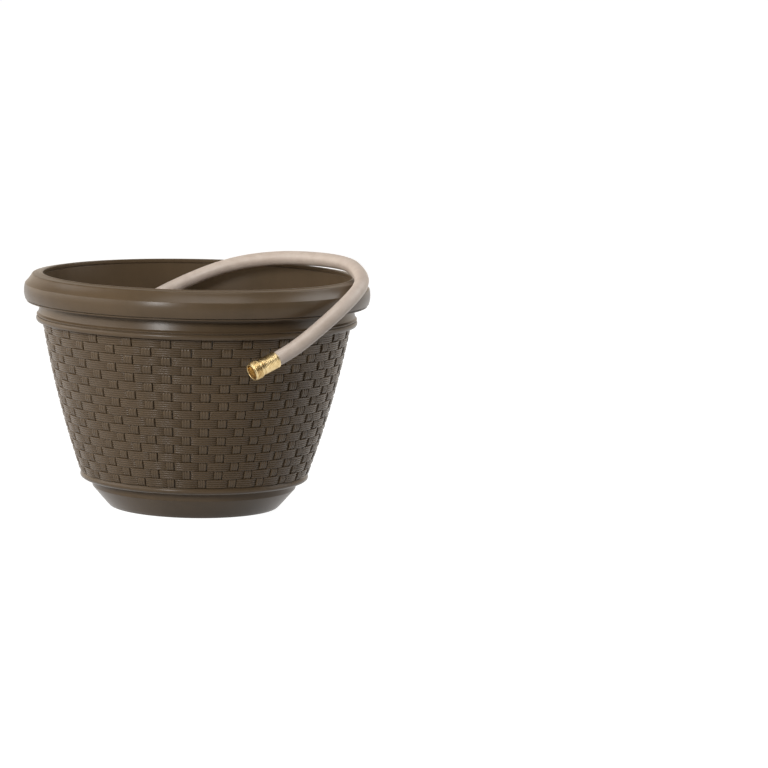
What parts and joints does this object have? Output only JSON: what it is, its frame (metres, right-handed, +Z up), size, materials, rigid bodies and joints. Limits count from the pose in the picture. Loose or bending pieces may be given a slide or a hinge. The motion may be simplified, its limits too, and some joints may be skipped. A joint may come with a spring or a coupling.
{
  "type": "garden hose pot",
  "caption": "Round moulded hose pot with a basket-weave side and a wide rolled rim, a coiled garden hose inside and its brass end hanging over the rim",
  "frame": {"origin": "centre of the pot's base, on the ground", "axes": "+Z up, -Y the front, over which the hose's brass end hangs, +X to the right seen from the front; the hose port is low in the back, at +Y"},
  "size_m": [0.5079, 0.5295, 0.3699],
  "materials": {
    "resin": "satin brown resin, moulded basket weave",
    "hose": "smooth satin greige",
    "brass": "turned, slightly dulled",
    "washer": "black moulded"
  },
  "bodies": {
    "pot": {"pot": "resin", "hose_coil": "hose", "hose_run": "hose", "hose_tail": "hose", "male_fitting": "brass", "male_ferrule": "brass", "female_stem": "brass", "female_ferrule": "brass", "hose_washer": "washer"},
    "swivel_nut": {"swivel_nut": "brass"}
  },
  "joints": [
    {"name": "nut_swivel", "type": "hinge", "parent": "pot", "child": "swivel_nut", "pos_m": [-0.05147, 0.22672, 0.06779], "axis": [-0.6556, 0.7307, -0.1902], "continuous": true}
  ]
}
